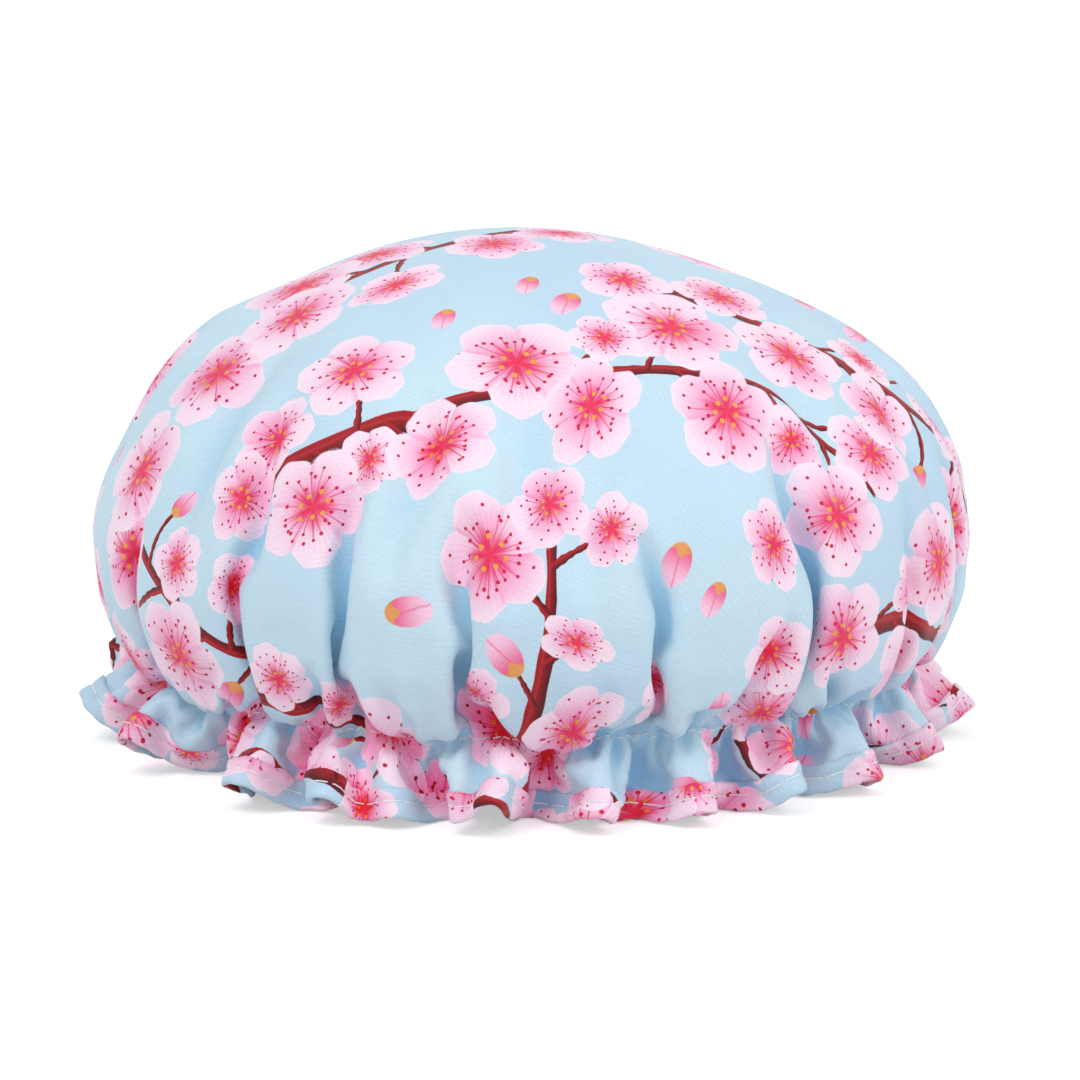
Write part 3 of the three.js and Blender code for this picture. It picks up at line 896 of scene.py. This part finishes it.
def printed_over(tree, colour, kinds, strength):
    """The print's motifs of the given kinds over a colour, layer by layer."""
    for kind in kinds:
        for layer in range(PRINT_LAYERS[kind]):
            spot = read(tree, f"{kind}_{layer + 1}", "Vector")
            printed = place_group(tree, printed_motif[kind], Below=colour, Place=spot)["Colour"]
            colour = mixed(tree, strength, colour, printed)
    return colour


def printed_cloth(name, ground, pitch):
    """Printed satin-weave cloth: the motifs over a pale blue ground, with the weave's lines, sheen and
    crinkles. In the folds the colours are painted darker and fuller as painted fold shade, and a little
    lighter as painted light thrown there from cloth to cloth."""
    material, tree, shader = new_material(name, Specular_IOR_Level=0.28, Sheen_Weight=0.05,
                                          Sheen_Roughness=0.45)
    cut_place = place_on_cloth(tree)
    wash = noise(tree, cut_place, 9.0)
    colour = mixed(tree, wash.between(0.35, 0.65), ground, linear(193, 219, 236))
    colour = printed_over(tree, colour, ("twig", "bud", "blossom"), strength=1.0)
    weave = place_group(tree, satin_weave, Cut=cut_place, Pitch=pitch)
    # Painted fold shade: by the mask of how deep the cloth lies in a fold, a gamma darkens and saturates the
    # colours there, and a little painted bounce light lifts them again.
    fold = Wire(tree, read(tree, "fold_shade_mask", "Fac"))
    painted_fold_shade = tree.nodes.new("ShaderNodeGamma")
    tree.links.new(colour, painted_fold_shade.inputs["Color"])
    feed(tree, painted_fold_shade.inputs["Gamma"], fold * 1.3 + 1.0)
    shaded = scaled(tree, painted_fold_shade.outputs[0], Wire(tree, weave["Shade"]) * (fold * 0.2 + 1.0))
    tree.links.new(shaded, shader.inputs["Base Color"])

    crinkle = noise(tree, cut_place, 70.0, detail=3.0)
    raise_surface(tree, shader, crinkle * 0.0006 + weave["Height"], 1.0)
    feed(tree, shader.inputs["Roughness"], crinkle * 0.16 + 0.46)
    return material


def add_object(name, data):
    """A new object in the scene."""
    added = bpy.data.objects.new(name, data)
    bpy.context.scene.collection.objects.link(added)
    return added


def new_piece(name, points, polygons, material):
    """A smooth mesh object at the origin, with its place in its mesh."""
    mesh = bpy.data.meshes.new(name)
    mesh.from_pydata(points.tolist(), [], polygons)
    mesh.polygons.foreach_set("use_smooth", np.ones(len(mesh.polygons), bool))
    mesh.materials.append(material)
    return add_object(name, mesh)


def write_cut_map(mesh, corner_place):
    """The place of each corner on the flat cloth, in metres, as the mesh's UV map."""
    layer = mesh.uv_layers.new(name="cut")
    layer.data.foreach_set("uv", corner_place.astype(np.float32).ravel())


DEEP_FOLD = 0.006
FOLD_REACH = 60


def write_fold_shade_mask(mesh, points, triangles):
    """How deep each point lies in a fold, from 0 on open cloth to 1 in a deep fold: the mask for painted fold
    shade.
    """
    around = points
    for _ in range(FOLD_REACH):
        around = round_about(around, triangles)
    depth = ((around - points) * point_normals(points, triangles)).sum(1)
    write_attribute(mesh, "fold_shade_mask", "FLOAT", "POINT", np.clip(depth / DEEP_FOLD, 0, 1))


printed_motif = {"blossom": motif_group("printed blossom", draw_blossom),
                 "bud": motif_group("printed bud", draw_bud),
                 "twig": motif_group("printed twig", draw_twig)}
satin_weave = weave_group()
printed_satin = printed_cloth("printed satin", ground=linear(203, 227, 240), pitch=0.0008)
outer_fabric = new_piece("gathered_cloth", cloth, faces.tolist(), printed_satin)
write_cut_map(outer_fabric.data, cut[faces])
disc_print.write(outer_fabric.data, cut[faces])
# The mask for the cloth's painted fold shade.
write_fold_shade_mask(outer_fabric.data, cloth, faces)
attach(outer_fabric, "root")
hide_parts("outer_fabric")


# Lining
# An equal disc of thin milky plastic film that lies against the inside of the cloth and keeps the water out.
# It is caught with the cloth in the gathered seam and in the bound edge.

SHOWS_THROUGH = 0.16


def film_material():
    """Milky plastic film, through which the print shows faintly, with soft crinkles."""
    material, tree, shader = new_material("milky film")
    cut_place = place_on_cloth(tree)
    cloud = noise(tree, cut_place, 26.0)
    colour = mixed(tree, cloud.between(0.3, 0.7), linear(226, 238, 243), linear(240, 244, 246))
    colour = printed_over(tree, colour, ("twig", "blossom"), strength=SHOWS_THROUGH)
    tree.links.new(colour, shader.inputs["Base Color"])
    raise_surface(tree, shader, noise(tree, cut_place, 95.0, detail=4.0), 0.0008)
    feed(tree, shader.inputs["Roughness"], cloud * 0.2 + 0.22)
    return material


lining_faces = faces[:, ::-1]
lining = new_piece("film_lining", film, lining_faces.tolist(), film_material())
write_cut_map(lining.data, cut[lining_faces])
disc_print.write(lining.data, cut[lining_faces])
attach(lining, "root")
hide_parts("waterproof_lining")


# Hem binding
# A strip of the same printed cloth, folded lengthwise round the raw edges of the cloth and the film, with its
# own edges tucked under. Its ends meet at the back. One line of stitching goes through all of it, and draws
# it in a little there.

SEAM_FROM_EDGE = 0.0045
SEAM_OUTSIDE = 0.0004
SEAM_INSIDE = 0.0012
FLOOR_CLEAR = 0.0001


def on_ruffle(from_edge):
    """Places and normals round the ruffle at a distance from its cut edge. Below 0 is past the edge."""
    row = (len(ruffle) - 1) * (1 - from_edge / (HEM_CUT - BAND_CUT))
    low = int(min(max(math.floor(row), 0), len(ruffle) - 2))
    share = row - low
    first, second = ruffle[low], ruffle[low + 1]
    normal = cloth_normal[first] * (1 - min(share, 1)) + cloth_normal[second] * min(share, 1)
    normal /= np.linalg.norm(normal, axis=1, keepdims=True)
    return cloth[first] * (1 - share) + cloth[second] * share, normal


# The strip's section: distance from the cut edge, and how far it lies off the cloth's outer side.
outer_leg = [(0.0090, 0.0001), (0.0089, 0.0009), (0.0075, 0.0011), (0.0058, 0.0009), (0.0049, 0.0005),
             (SEAM_FROM_EDGE, SEAM_OUTSIDE), (0.0041, 0.0005), (0.0032, 0.0008), (0.0016, 0.0010),
             (0.0002, 0.0010)]
fold = [(-0.0006, 0.0008), (-0.0010, 0.0001), (-0.0007, -0.0009)]
inner_leg = [(0.0002, -0.0015), (0.0016, -0.0016), (0.0032, -0.0015), (SEAM_FROM_EDGE, -SEAM_INSIDE),
             (0.0058, -0.0015), (0.0074, -0.0015), (0.0088, -0.0013), (0.0090, -0.0007)]
strip = []
for from_edge, lift in outer_leg + fold + inner_leg:
    place, normal = on_ruffle(from_edge)
    line = place + lift * normal
    line[:, 2] = np.maximum(line[:, 2], FLOOR_CLEAR)
    strip.append(np.roll(line, len(line) // 2, axis=0))
strip = np.array(strip)
strip_rows, strip_columns = strip.shape[:2]
strip_along = np.linspace(0, 2 * math.pi * HEM_CUT, strip_columns + 1)
strip_across = np.concatenate([[0], np.cumsum(np.linalg.norm(np.diff(strip, axis=0), axis=2).mean(1))])
strip_across -= strip_across[-1] / 2
row, column = (part.ravel() for part in np.mgrid[:strip_rows - 1, :strip_columns])
corner_rows = row[:, None] + np.array([[0, 1, 0], [0, 1, 1]])[:, None]
corner_columns = column[:, None] + np.array([[0, 0, 1], [1, 0, 1]])[:, None]
corner_rows, corner_columns = corner_rows.reshape(-1, 3), corner_columns.reshape(-1, 3)
strip_faces = corner_rows * strip_columns + corner_columns % strip_columns
strip_cut = np.stack([strip_along[corner_columns], strip_across[corner_rows]], -1)


def on_strip(chance):
    """A chance place on the binding strip or a little beside it."""
    return np.array([chance.uniform(0, strip_along[-1]), chance.uniform(-0.02, 0.02)])


def near_strip(place):
    """Whether a branch may grow at a place on or beside the strip."""
    return abs(place[1]) < 0.03 and -0.02 < place[0] < strip_along[-1]


strip_print = Motifs(seed=12, holds=near_strip)
strip_print.grow_branches(on_strip, tries=260, clear=0.03)
strip_print.scatter(on_strip, tries=160)
binding_satin = printed_cloth("binding satin", ground=linear(192, 218, 235), pitch=0.0008)
hem_binding = new_piece("bound_edge", strip.reshape(-1, 3), strip_faces.tolist(), binding_satin)
write_cut_map(hem_binding.data, strip_cut)
strip_print.write(hem_binding.data, strip_cut)
# The mask for the binding's painted fold shade.
write_fold_shade_mask(hem_binding.data, strip.reshape(-1, 3), strip_faces)
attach(hem_binding, "root")
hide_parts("hem_binding")


# Hem threads
# White spun polyester in a long lockstitch along the middle of the binding: the needle thread lies on the
# outside and the bobbin thread on the inside. Each stitch goes down into the cloth at both of its ends.

THREAD_RADIUS = 0.00024
HEM_STITCH = dict(stitch_length=0.0066, gap=0.0012, dip=0.0004)


def stitch_tree():
    """Geometry nodes that turn a line into separate stitches: gaps are taken out of it, the ends of each
    stitch go down into the cloth, and the rest becomes a round thread."""
    tree = bpy.data.node_groups.new("sewn stitches", "GeometryNodeTree")
    tree.interface.new_socket("Geometry", in_out="INPUT", socket_type="NodeSocketGeometry")
    for label in ("Stitch length", "Gap", "Thread radius", "Dip"):
        tree.interface.new_socket(label, in_out="INPUT", socket_type="NodeSocketFloat")
    tree.interface.new_socket("Thread", in_out="INPUT", socket_type="NodeSocketMaterial")
    tree.interface.new_socket("Geometry", in_out="OUTPUT", socket_type="NodeSocketGeometry")
    given, result = tree.nodes.new("NodeGroupInput").outputs, tree.nodes.new("NodeGroupOutput").inputs

    def attribute(name, kind):
        node = tree.nodes.new("GeometryNodeInputNamedAttribute")
        node.data_type = kind
        node.inputs["Name"].default_value = name
        return node.outputs["Attribute"]

    def step(kind, geometry, **inputs):
        node = tree.nodes.new("GeometryNode" + kind)
        tree.links.new(geometry, node.inputs[0])
        for label, value in inputs.items():
            feed(tree, node.inputs[label.replace("_", " ")], value)
        return node.outputs[0]

    along = Wire(tree, attribute("along", "FLOAT"))
    stitch = Wire(tree, given["Stitch length"])
    pitch = stitch + given["Gap"]
    in_stitch = (along / pitch).do("FRACT") * pitch
    sink = ((in_stitch / stitch - 0.5) * 2.0).do("ABSOLUTE").do("POWER", 6.0)
    down = scaled(tree, attribute("lift", "FLOAT_VECTOR"), sink * given["Dip"] * -1.0)
    section = tree.nodes.new("GeometryNodeCurvePrimitiveCircle")
    section.inputs["Resolution"].default_value = 6
    tree.links.new(given["Thread radius"], section.inputs["Radius"])

    kept = step("DeleteGeometry", given["Geometry"], Selection=in_stitch.do("GREATER_THAN", stitch))
    line = step("MeshToCurve", step("SetPosition", kept, Offset=down))
    tube = step("CurveToMesh", line, Profile_Curve=section.outputs[0], Fill_Caps=True)
    coloured = step("SetMaterial", step("RealizeInstances", tube), Material=given["Thread"])
    tree.links.new(coloured, result[0])
    return tree


def sew(name, path, lift, stitch_length, gap, dip, closed=True):
    """Stitches along a path. Lift is the way out of the cloth at each of its points."""
    count = len(path)
    links = [(k, (k + 1) % count) for k in range(count if closed else count - 1)]
    line = bpy.data.meshes.new(name)
    line.from_pydata(path.tolist(), links, [])
    step = np.linalg.norm(np.diff(path, axis=0), axis=1)
    write_attribute(line, "along", "FLOAT", "POINT", np.concatenate([[0], np.cumsum(step)]))
    write_attribute(line, "lift", "FLOAT_VECTOR", "POINT", lift)
    guide = add_object(name + "_line", line)
    modifier = guide.modifiers.new("stitches", "NODES")
    modifier.node_group = sewn_stitches
    settings = {"Stitch length": stitch_length, "Gap": gap, "Thread radius": THREAD_RADIUS, "Dip": dip,
                "Thread": spun_thread}
    for item in sewn_stitches.interface.items_tree:
        if item.in_out == "INPUT" and item.name in settings:
            modifier[item.identifier] = settings[item.name]
    evaluated = guide.evaluated_get(bpy.context.evaluated_depsgraph_get())
    mesh = bpy.data.meshes.new_from_object(evaluated)
    bpy.data.objects.remove(guide)
    mesh.name = name
    mesh.polygons.foreach_set("use_smooth", np.ones(len(mesh.polygons), bool))
    piece = add_object(name, mesh)
    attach(piece, "root")
    return piece


def finer(values, times=4):
    """A closed line with points put in between, so that stitches can be cut from it."""
    count = len(values)
    place = np.arange(count * times) / times
    low = place.astype(int)
    share = (place - low)[:, None]
    return values[low] * (1 - share) + values[(low + 1) % count] * share


def thread_material():
    """White spun thread, a little fuzzy and uneven."""
    material, tree, shader = new_material("spun thread", Roughness=0.7, Sheen_Weight=0.2)
    where = tree.nodes.new("ShaderNodeTexCoord")
    fibre = noise(tree, where.outputs["Object"], 2500.0)
    colour = mixed(tree, fibre.between(0.3, 0.7), linear(236, 235, 231), linear(252, 251, 248))
    tree.links.new(colour, shader.inputs["Base Color"])
    raise_surface(tree, shader, fibre, 0.0001)
    return material


sewn_stitches, spun_thread = stitch_tree(), thread_material()
seam_place, seam_normal = on_ruffle(SEAM_FROM_EDGE)
needle_path = seam_place + (SEAM_OUTSIDE + 0.8 * THREAD_RADIUS) * seam_normal
hem_needle = sew("hem_needle_stitches", finer(needle_path), finer(seam_normal), **HEM_STITCH)
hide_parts("hem_needle_thread")
bobbin_path = seam_place - (SEAM_INSIDE + 0.8 * THREAD_RADIUS) * seam_normal
hem_bobbin = sew("hem_bobbin_stitches", finer(bobbin_path), finer(-seam_normal), **HEM_STITCH)
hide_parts("hem_bobbin_thread")


# Elastic band
# A flat strip of white braided elastic inside the gathered line, 6 mm wide, with ribs along it. Its ends are
# lapped and tacked at the back before it is sewn in.

ELASTIC_RADIUS = 0.1199
ELASTIC_THICKNESS = 0.001
ELASTIC_WIDTH = 0.006
LAP = 0.016
RIBS = 5
RIB_HEIGHT = 0.00012
tack_low, tack_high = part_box("elastic_join_thread")
tack_middle = (Vector(tack_low) + Vector(tack_high)) / 2
tack_angle = math.atan2(tack_middle.x, -tack_middle.y)


def elastic_place(along, across, lift):
    """A point of the strip: along it in radians, across its width, and in from its middle line."""
    lap_angle = LAP / ELASTIC_RADIUS
    end = np.clip((along - 2 * math.pi + lap_angle) / (0.6 * lap_angle), 0, 1)
    inward = 1.25 * ELASTIC_THICKNESS * end * end * (3 - 2 * end)
    radius = ELASTIC_RADIUS - inward - lift
    return turned(radius, tack_angle - lap_angle / 2 + along, BAND_HEIGHT + across)


def toward_middle(path):
    """The level way in to the cap's middle at each point of a path."""
    return -path * (1, 1, 0) / np.hypot(path[:, 0], path[:, 1])[:, None]


side_steps = np.linspace(-1, 1, 4 * RIBS + 1)
ribbed = 0.5 * ELASTIC_THICKNESS + RIB_HEIGHT * (np.cos(RIBS * math.pi * (side_steps + 1)) - 1)
inner_side = np.stack([0.5 * ELASTIC_WIDTH * side_steps, ribbed], 1)
section = np.concatenate([inner_side, inner_side[::-1] * (1, -1)])
turns = np.linspace(0, 2 * math.pi + LAP / ELASTIC_RADIUS, 420)
elastic_points = np.array([elastic_place(turns, across, lift) for across, lift in section])
around, length = elastic_points.shape[:2]
number = np.arange(around * length).reshape(around, length)
after = np.roll(number, -1, axis=0)
elastic_faces = np.stack([number[:, :-1], after[:, :-1], after[:, 1:], number[:, 1:]], -1)
elastic_faces = elastic_faces.reshape(-1, 4).tolist() + [number[::-1, 0].tolist(), number[:, -1].tolist()]


def elastic_material():
    """Braided elastic: white yarn over rubber, with fine rows of knitting across the ribs."""
    material, tree, shader = new_material("braided elastic", Roughness=0.8)
    where = tree.nodes.new("ShaderNodeTexCoord")
    x, y, z = parts(tree, where.outputs["Object"])
    turn = x.do("ARCTAN2", y)
    rows = (turn * (ELASTIC_RADIUS * 2 * math.pi / 0.0008) + (z * 5200.0).do("SINE") * 0.9).do("SINE")
    colour = mixed(tree, rows.between(-1.0, 1.0), linear(222, 221, 214), linear(246, 245, 240))
    tree.links.new(colour, shader.inputs["Base Color"])
    raise_surface(tree, shader, rows, 0.0001)
    return material


elastic_band = new_piece("elastic_strip", elastic_points.reshape(-1, 3), elastic_faces, elastic_material())
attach(elastic_band, "root")
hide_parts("elastic_band")


# Band threads and the tack
# The seam that holds the elastic: short stitches of white thread in the groove outside, the bobbin thread on
# the elastic inside, and a small zigzag that joins the lapped ends of the elastic.

BAND_STITCH = dict(stitch_length=0.0026, gap=0.0007, dip=0.0005)
TACK_LEGS = 6
TACK_PITCH = 0.0013
TACK_REACH = 0.0021
band_place, band_normal = cloth[ruffle[0]], cloth_normal[ruffle[0]]
groove_path = band_place + 0.9 * THREAD_RADIUS * band_normal
band_needle = sew("band_needle_stitches", finer(groove_path), finer(band_normal), **BAND_STITCH)
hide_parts("band_needle_thread")

round_steps = np.linspace(0, 2 * math.pi, 3000, endpoint=False)
inside = 0.5 * ELASTIC_THICKNESS + 0.7 * THREAD_RADIUS
elastic_line = elastic_place(round_steps + 0.5 * LAP / ELASTIC_RADIUS, 0.0, inside)
band_bobbin = sew("band_bobbin_stitches", elastic_line, toward_middle(elastic_line), **BAND_STITCH)
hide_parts("band_bobbin_thread")

zigzag = np.linspace(0, TACK_LEGS, 20 * TACK_LEGS + 1)
tack_middle_along = 2 * math.pi + 0.5 * LAP / ELASTIC_RADIUS
tack_along = tack_middle_along + (zigzag - TACK_LEGS / 2) * TACK_PITCH / ELASTIC_RADIUS
tack_across = TACK_REACH * (4 * np.abs((zigzag / 2) % 1 - 0.5) - 1)
tack_path = elastic_place(tack_along, tack_across, inside)
join_tack = sew("elastic_tack", tack_path, toward_middle(tack_path), stitch_length=1.0, gap=0.0, dip=0.0,
                closed=False)
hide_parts("elastic_join_thread")


# Floor, light and camera
# A plain white sweep under soft light from the upper left, seen from a little above as in the photograph.

def seen_directly(tree):
    """1 for what the camera sees itself or in a reflection, and 0 for light that falls on the cap."""
    path = tree.nodes.new("ShaderNodeLightPath")
    seen = Wire(tree, path.outputs["Is Camera Ray"]).do("MAXIMUM", path.outputs["Is Glossy Ray"])
    return seen.do("MAXIMUM", path.outputs["Is Transmission Ray"])


floor_material, floor_tree, floor_shader = new_material("white sweep", Base_Color=(0.8, 0.8, 0.8, 1),
                                                        Roughness=0.9, Specular_IOR_Level=0.0,
                                                        Emission_Color=(1, 1, 1, 1))
floor_place = floor_tree.nodes.new("ShaderNodeTexCoord")
x, y, _ = parts(floor_tree, floor_place.outputs["Object"])
paleness = (x * x + y * y).do("SQRT").between(0.4, 1.6) * 0.3 + 0.48
feed(floor_tree, floor_shader.inputs["Emission Strength"], seen_directly(floor_tree) * paleness)
bpy.ops.mesh.primitive_plane_add(size=8)
floor = bpy.context.object
floor.name = "floor"
floor.data.materials.append(floor_material)

camera_data = bpy.data.cameras.new("camera")
camera = add_object("camera", camera_data)
bpy.context.scene.camera = camera
CAMERA_DISTANCE = 1.7
CAMERA_ELEVATION = math.radians(12)
SEEN_WIDTH = 0.360
look_at = Vector((0.003, 0, 0.064))
to_camera = Vector((0, -math.cos(CAMERA_ELEVATION), math.sin(CAMERA_ELEVATION)))
camera.location = look_at + CAMERA_DISTANCE * to_camera
camera.rotation_euler = (-to_camera).to_track_quat("-Z", "Y").to_euler()
camera_data.lens = camera_data.sensor_width * CAMERA_DISTANCE / SEEN_WIDTH


def soft_lamp(name, place, size, power):
    """A square soft box that faces the cap."""
    lamp = bpy.data.lights.new(name, "AREA")
    lamp.size = size
    lamp.energy = power
    holder = add_object(name, lamp)
    holder.location = place
    holder.rotation_euler = (Vector((0, 0, 0.08)) - holder.location).to_track_quat("-Z", "Y").to_euler()


soft_lamp("key light", (-0.8, -0.95, 1.55), size=0.8, power=11.5)
soft_lamp("fill light", (1.25, -0.7, 1.0), size=0.9, power=7.8)
world = bpy.data.worlds.new("studio")
bpy.context.scene.world = world
world.use_nodes = True
world_tree = world.node_tree
backdrop = world_tree.nodes["Background"]
backdrop.inputs["Color"].default_value = (0.92, 0.97, 1, 1)
feed(world_tree, backdrop.inputs["Strength"], seen_directly(world_tree) * 0.34 + 0.66)
bpy.context.scene.view_settings.view_transform = "Standard"
